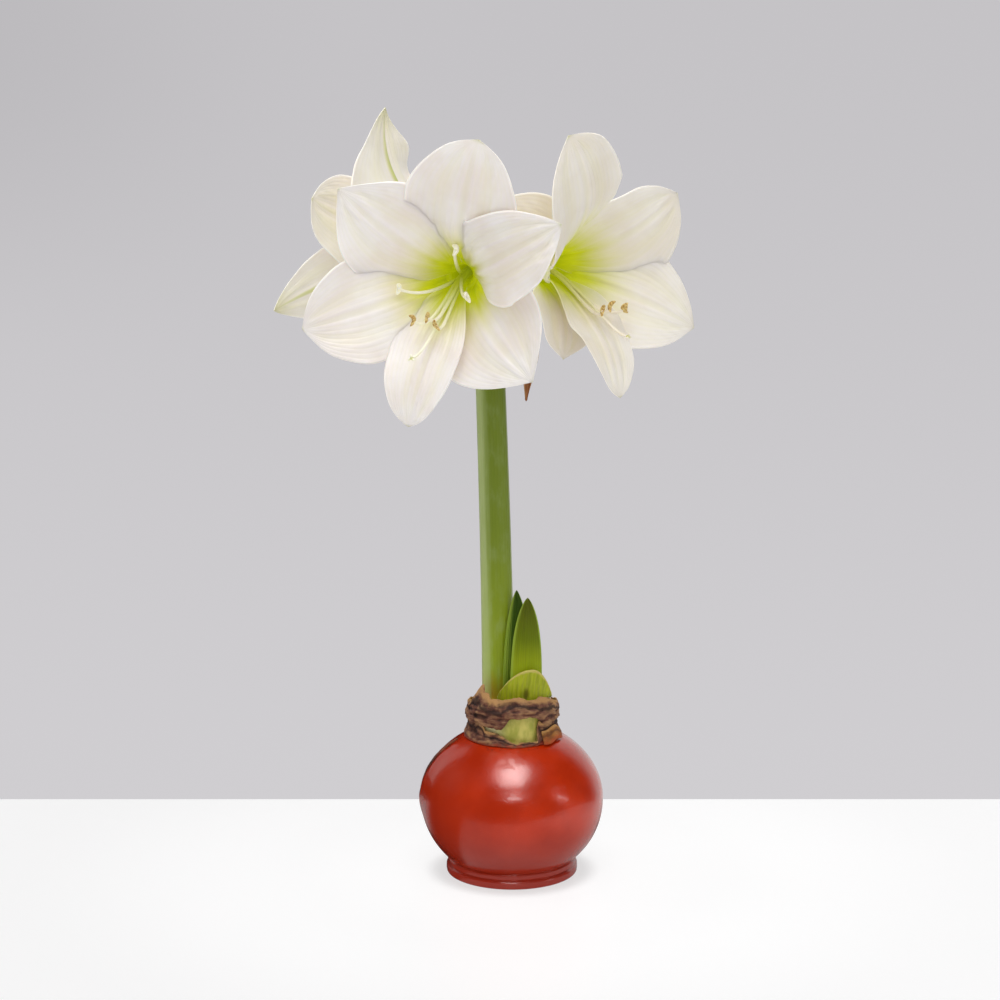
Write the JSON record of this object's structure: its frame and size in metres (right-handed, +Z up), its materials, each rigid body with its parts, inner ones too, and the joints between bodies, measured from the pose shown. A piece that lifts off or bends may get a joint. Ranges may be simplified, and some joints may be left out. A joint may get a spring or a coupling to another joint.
{
  "type": "waxed amaryllis bulb",
  "caption": "Flowering bulb dipped in glossy red wax: a tall scape of open white blooms, young leaves and a dry papery neck. Stands on its wax foot.",
  "frame": {"origin": "middle of the underside of the wax foot, on the surface that the plant stands on", "axes": "+Z up along the plant, -Y towards the side that the front bloom faces, +X to that viewer's right"},
  "size_m": [0.2222, 0.2239, 0.4154],
  "materials": {
    "wax": "glossy orange-red dipping wax",
    "bulb_flesh": "pale yellow-green fleshy scale, satin",
    "dry_skin": "dry wrinkled purplish brown bulb skin, matt",
    "tan_skin": "dry tan bulb skin, matt",
    "cut_scale": "yellow-green fleshy scale with a pale cut rim",
    "leaf": "waxy green leaf, darker towards the tip",
    "stem": "smooth green stem with a faint bloom",
    "bract": "dry brown papery bract",
    "petal": "translucent white petal, lime in the throat",
    "stamen": "cream filaments with tan anthers"
  },
  "bodies": {
    "root": {"wax_coat": "wax", "bulb": "bulb_flesh", "tunic_lower": "dry_skin", "tunic_upper": "dry_skin", "tunic_flake": "tan_skin", "cut_scale": "cut_scale", "leaf_front": "leaf", "leaf_back": "leaf", "scape": "stem", "spathe_front": "bract", "spathe_back": "bract", "pedicel_front": "stem", "pedicel_right": "stem", "pedicel_left": "stem", "bloom_front": "petal", "bloom_right": "petal", "bloom_left": "petal", "stamens_front": "stamen", "stamens_right": "stamen", "stamens_left": "stamen"}
  },
  "joints": []
}
